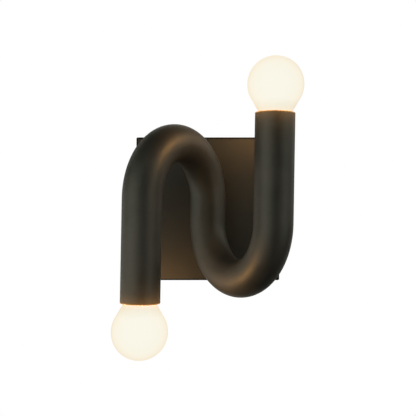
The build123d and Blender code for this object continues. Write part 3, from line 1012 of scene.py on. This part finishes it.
# %% Roll the caps and shells
CAP_THREAD_R = 5.85 * MM
CAP_DEPTH = 0.5 * MM
CAP_TURNS = 3
CAP_SKIRT = 2.0 * MM
CAP_TAPER = 1.0 * MM
CAP_END_R = 4.6 * MM
SHELL_DEPTH = 0.3 * MM
SHELL_TURNS = 5
SHELL_LIP_R = 4.8 * MM
cap_r = lamp_span("bulb_cap")[2]
shell_r = lamp_span("screw_shell")[2]
cap = rolled("bulb_cap", CAP_THREAD_R, CAP_DEPTH, CAP_TURNS, (CAP_SKIRT, cap_r), (CAP_TAPER, CAP_END_R))
shell = rolled("screw_shell", shell_r, SHELL_DEPTH, SHELL_TURNS, (SHEET, shell_r), (SHEET, SHELL_LIP_R))
seat_lamps(cap, "screw_cap", "bulb_cap")
seat_lamps(shell, "threaded_shell", "screw_shell")

# %% [markdown]
# ## Threaded nipples
#
# Three lengths of threaded pipe hold the light together: a long one through the plate, which the leads
# pass through, and a short one behind each socket. A hole could be cut through a rod, but a cut leaves
# untidy faces on a thread. So the screwed ring's open ends are chamfered, drawn in to the bore and bridged
# to each other, and the pipe has a clean hole.

# %% Thread a pipe
NIPPLE_R = 5.0 * MM
NIPPLE_BORE_R = 3.75 * MM
NIPPLE_PITCH = 0.94 * MM
NIPPLE_DEPTH = 0.5 * MM
CHAMFER = 0.5 * MM


def nipple(name, length):
    """A threaded pipe with chamfered ends and a bore."""
    threads = length - 2 * CHAMFER
    turns = round(threads / NIPPLE_PITCH)
    ring_r = NIPPLE_R - NIPPLE_DEPTH / 2
    root_r = NIPPLE_R - NIPPLE_DEPTH
    pipe = threaded(name, NIPPLE_R, NIPPLE_DEPTH, threads / turns, turns, CHAMFER)
    edit(pipe)
    choose_ends()
    extrude((-NIPPLE_DEPTH / 2, 0.0, 0.0))
    widen(root_r / ring_r, tall=length / threads, about=length / 2)
    draw_out(0.0, NIPPLE_BORE_R / root_r)
    bpy.ops.mesh.bridge_edge_loops()
    done()
    smooth(pipe, degrees=40.0)
    return pipe


print("pipe:", 2 * NIPPLE_R / MM, "mm across, with a bore of", 2 * NIPPLE_BORE_R / MM, "mm")

# %% Cut the nipples to length
nipple_low, nipple_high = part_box("centre_nipple")
long_nipple = nipple("long_nipple", nipple_high.y - nipple_low.y)
stand(long_nipple, WALLWARD * nipple_low.y, WALLWARD)
seat(long_nipple, "centre_nipple")
holder_low, holder_high = lamp_span("holder_nipple")[:2]
short_nipple = nipple("short_nipple", holder_high - holder_low)
stand(short_nipple, rim + out * holder_low, out)
seat_lamps(short_nipple, "short_nipple", "holder_nipple")

# %% [markdown]
# ## Hexagon nuts
#
# The corners of a real nut are turned off on a lathe before it is tapped, which leaves the curved edges
# that everybody knows. A bevel would follow the six edges and look wrong. So the hexagon is cut as on the
# lathe, by keeping only what lies inside a turned shape with sloping shoulders.

# %% Turn a hexagon
SHOULDER = math.radians(30.0)
FACE_SHARE = 0.96
SPARE = 1.02
BLANK = 3
LATHE_SIDES = 72


def hexagon(name, flats, height, foot=0.0):
    """A hexagon block with the corners turned off at both ends."""
    corner_r = flats / 2 / math.cos(math.pi / 6)
    face_r = FACE_SHARE * flats / 2
    tool_r = SPARE * corner_r
    slope = (tool_r - face_r) * math.tan(SHOULDER)
    seat_level = UP * foot
    block = add("cylinder", name, vertices=6, radius=corner_r, depth=BLANK * height, location=seat_level)
    tool = add(
        "circle", "turning_tool", vertices=LATHE_SIDES, radius=face_r, fill_type="NGON", location=seat_level
    )
    edit(tool)
    draw_out(slope, tool_r / face_r)
    draw_out(height - 2 * slope)
    draw_out(slope, face_r / tool_r)
    done()
    cut(block, tool, "INTERSECT")
    return block


def flat_side(node, foot, axis):
    """The direction from an axis to a flat of a hexagon solid."""
    offsets = [vertex.co - foot for vertex in frame["nodes"][node].data.vertices]
    asides = [offset - axis * offset.dot(axis) for offset in offsets]
    return axis.cross(max(asides, key=lambda aside: aside.length))


print("shoulders of", round(math.degrees(SHOULDER)), "degrees")

# %% Turn the nuts
NUT_FLATS = 14.0 * MM
NUT_BORE_R = 5.05 * MM
TAP_SIDES = 64
nut_low, nut_high = lamp_span("holder_nut")[:2]
nut_h = nut_high - nut_low
nut = hexagon("holder_hex_nut", NUT_FLATS, nut_h)
cut(nut, add("cylinder", "tap", vertices=TAP_SIDES, radius=NUT_BORE_R, depth=BLANK * nut_h))
smooth(nut, degrees=25.0)
plate_nut = copied(nut, "plate_hex_nut", Matrix.Identity(4))
plate_nut_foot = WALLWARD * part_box("nipple_nut")[0].y
stand(plate_nut, plate_nut_foot, WALLWARD, flat_side("nipple_nut", plate_nut_foot, WALLWARD))
seat(plate_nut, "nipple_nut")
stand(nut, rim + out * nut_low, out, flat_side("holder_nut_lower", rim, out))
seat_lamps(nut, "holder_hex_nut", "holder_nut")

# %% [markdown]
# ## Screws
#
# A screw could be one turned outline, but its recess and its thread aren't round. So a head is a cylinder
# with its top edge rounded, the recess is cut with one or two tapered blades, and the shank is the screwed
# ring again, closed at its ends.

# %% Make a screw
BLADE_SHARE = 0.3
BLADE_TAPER = 0.7
HEAD_SIDES = 48
CROSS_REACH = 0.62
SLOT_REACH = 1.2
RECESS_SHARE = 0.55


def recess(head, radius, top, depth, blades):
    """Cut a slot, or a cross of two, into a head."""
    for blade in range(blades):
        tool = add("cube", "recess_tool", size=1.0)
        tool.scale = (2 * radius, BLADE_SHARE * radius, 2 * depth)
        tool.rotation_euler = (0.0, 0.0, blade * math.pi / 2)
        tool.location = UP * top
        settle(tool)
        edit(tool)
        choose(tool, at_height(top - depth))
        widen(BLADE_TAPER)
        done()
        cut(head, tool)


def shank(name, radius, length, pitch):
    """A threaded rod that hangs below a head's seat."""
    turns = round(length / pitch)
    rod = threaded(name, radius, pitch / 2, length / turns, turns, -length)
    edit(rod)
    bpy.ops.mesh.fill_holes(sides=0)
    done()
    return rod


def round_screw(name, head_r, head_h, rounding, shank_r, shank_l, pitch, blades):
    """A screw with a round head, standing on its head's seat."""
    middle_level = UP * (head_h / 2)
    head = add("cylinder", name, vertices=HEAD_SIDES, radius=head_r, depth=head_h, location=middle_level)
    round_edge(head, head_h, rounding, segments=6)
    blade_reach = CROSS_REACH if blades > 1 else SLOT_REACH
    recess(head, blade_reach * head_r, head_h, RECESS_SHARE * head_h, blades)
    join(head, shank(f"{name}_shank", shank_r, shank_l, pitch))
    smooth(head, degrees=30.0)
    return head


print("a recess is", RECESS_SHARE, "of its head deep")

# %% [markdown]
# ## Side screws
#
# Two blackened cross-head screws hold the plate to its strap, one from each side. One is modelled, and the
# other is the same screw turned half round, as on the light.

# %% Drive the side screws
screw_low, screw_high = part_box("side_screws")
side_screw = round_screw(
    "side_screw_pair", head_r=(screw_high.z - screw_low.z) / 2, head_h=screw_high.x - plate_high.x,
    rounding=1.4 * MM, shank_r=2.0 * MM, shank_l=8.0 * MM, pitch=0.7 * MM, blades=2,
)
screw_depth = (screw_low.y + screw_high.y) / 2
stand(side_screw, RIGHT * plate_high.x + WALLWARD * screw_depth, RIGHT, WALLWARD + UP)
pair(side_screw, HALF_TURN)
seat(side_screw, "side_screws")

# %% [markdown]
# ## Yoke screws
#
# Two small slotted screws hold each socket in its yoke. Their heads lie on the yoke's sides, so the place
# of a head is measured on the solid, along the direction in which the bend reaches out. The second screw
# is the first turned half round about the lamp.

# %% Drive the yoke screws
YOKE_HEAD_H = 1.4 * MM
head_low, head_high = lamp_span("yoke_screws")[:2]
yoke_foot = rim + out * ((head_low + head_high) / 2)
yoke_points = [vertex.co for vertex in frame["nodes"]["yoke_screws_lower"].data.vertices]
head_top = max((point - yoke_foot).dot(reach) for point in yoke_points)
yoke_screw = round_screw(
    "yoke_screw_pair", head_r=(head_high - head_low) / 2, head_h=YOKE_HEAD_H, rounding=0.5 * MM,
    shank_r=1.5 * MM, shank_l=5.0 * MM, pitch=0.5 * MM, blades=1,
)
stand(yoke_screw, yoke_foot + reach * (head_top - YOKE_HEAD_H), reach, out)
pair(yoke_screw, Matrix.Translation(rim) @ Matrix.Rotation(math.pi, 4, out) @ Matrix.Translation(-rim))
seat_lamps(yoke_screw, "yoke_screw_pair", "yoke_screws")

# %% [markdown]
# ## Ground screw
#
# A green screw on the strap takes the ground wire. It has a slotted hexagon head with a washer pressed
# onto it. The head is turned like the nuts, but not bored, and the washer and the shank are joined to it.

# %% Drive the ground screw
STRAP_T = 1.6 * MM
GROUND_FLATS = 8.0 * MM
GROUND_SLOT = 0.45
GROUND_SHANK_R = 2.4 * MM
GROUND_PITCH = 0.7 * MM
WASHER_T = 1.0 * MM
WASHER_ROUND = 0.3
WASHER_SIDES = 64
SLOT_SIDE = Vector((1.0, 0.0, 0.6))
ground_low, ground_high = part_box("ground_screw")
washer_r = (ground_high.x - ground_low.x) / 2
head_h = -STRAP_T - ground_low.y - WASHER_T
ground = hexagon("ground_hex_screw", GROUND_FLATS, head_h, WASHER_T)
recess(ground, GROUND_FLATS, WASHER_T + head_h, GROUND_SLOT * head_h, blades=1)
washer = add(
    "cylinder", "pressed_washer", vertices=WASHER_SIDES, radius=washer_r, depth=WASHER_T,
    location=UP * (WASHER_T / 2),
)
round_edge(washer, WASHER_T, WASHER_ROUND * WASHER_T, segments=3)
join(ground, washer, shank("ground_shank", GROUND_SHANK_R, ground_high.y + STRAP_T, GROUND_PITCH))
smooth(ground, degrees=25.0)
stand(ground, Vector(((ground_low.x + ground_high.x) / 2, -STRAP_T, 0.0)), -WALLWARD, SLOT_SIDE)
seat(ground, "ground_screw")

# %% [markdown]
# ## Twist-on connectors
#
# Two plastic caps join the leads to the supply wires. Each tapers, has grooves to grip and ends in a dome.
# The grooves could be cut one by one, but moulded plastic has soft edges everywhere. So a cylinder's sides
# are pinched in at every fourth corner, its top is drawn in to a dome, its foot is hollowed for the wires,
# and a subdivision surface rounds it all off.

# %% Mould the connectors
CONNECTOR_LENGTH = 19.0 * MM
CONNECTOR_BORE = 6.0 * MM
CONNECTOR_SIDES = 40
CONNECTOR_TAPER = 0.76
CONNECTOR_LIP = 0.22
GROOVE = 0.86
GROOVE_EVERY = 4
DOME = 2.2 * MM
DOME_STEPS = ((0.7, 0.82), (0.3, 0.6))
connector_low, connector_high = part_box("wire_connectors")
connector_r = (connector_high.y - connector_low.y) / 2
side_h = CONNECTOR_LENGTH - DOME


def in_groove(place):
    """The test for the corners that are pinched in."""
    corner = math.atan2(place.x, place.y) / (2 * math.pi) * CONNECTOR_SIDES
    return round(corner) % GROOVE_EVERY == 0


connector = add(
    "cylinder", "twist_connectors", vertices=CONNECTOR_SIDES, radius=connector_r, depth=side_h,
    location=UP * (side_h / 2),
)
edit(connector)
choose(connector, in_groove)
widen(GROOVE)
choose(connector, at_height(side_h))
widen(CONNECTOR_TAPER)
for lift, factor in DOME_STEPS:
    draw_out(lift * DOME, factor)
choose(connector, at_height(0.0))
bpy.ops.mesh.inset(thickness=CONNECTOR_LIP * connector_r)
extrude(UP * CONNECTOR_BORE)
done()
shape(connector, "SUBSURF", levels=2, render_levels=2)
smooth(connector, degrees=60.0)
print("a connector has", CONNECTOR_SIDES // GROOVE_EVERY, "grooves")

# %% Twist the connectors on
connector_foot = Vector((
    connector_high.x - connector_r,
    (connector_low.y + connector_high.y) / 2,
    connector_high.z - CONNECTOR_LENGTH,
))
stand(connector, connector_foot, UP)
pair(connector, HALF_TURN)
seat(connector, "wire_connectors")

# %% [markdown]
# ## The solids that stay
#
# The plate, the strap, the toothed washer, the boss, the yokes, the sockets, the discs and the leads
# already have their real shape. Modelling them again would add nothing, so they stay as they are and only
# get their finish.

# %% Dress the solids
for name, solid in frame["nodes"].items():
    solid.data.materials.clear()
    solid.data.materials.append(finishes[slot_of[name]])
print("dressed", len(frame["nodes"]), "solids in", len(finishes), "finishes")

# %% [markdown]
# ## Closing
#
# Colours are shown as they are, without a film curve, because the photograph's white is plain white. The
# dressed light must be the size of the solids, so both boxes are printed at the end.

# %% Print the sizes and finish
bpy.context.scene.view_settings.view_transform = "Standard"
low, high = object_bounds()
print("solids", in_mm(cad_high - cad_low), "mm, dressed", in_mm(high - low), "mm")
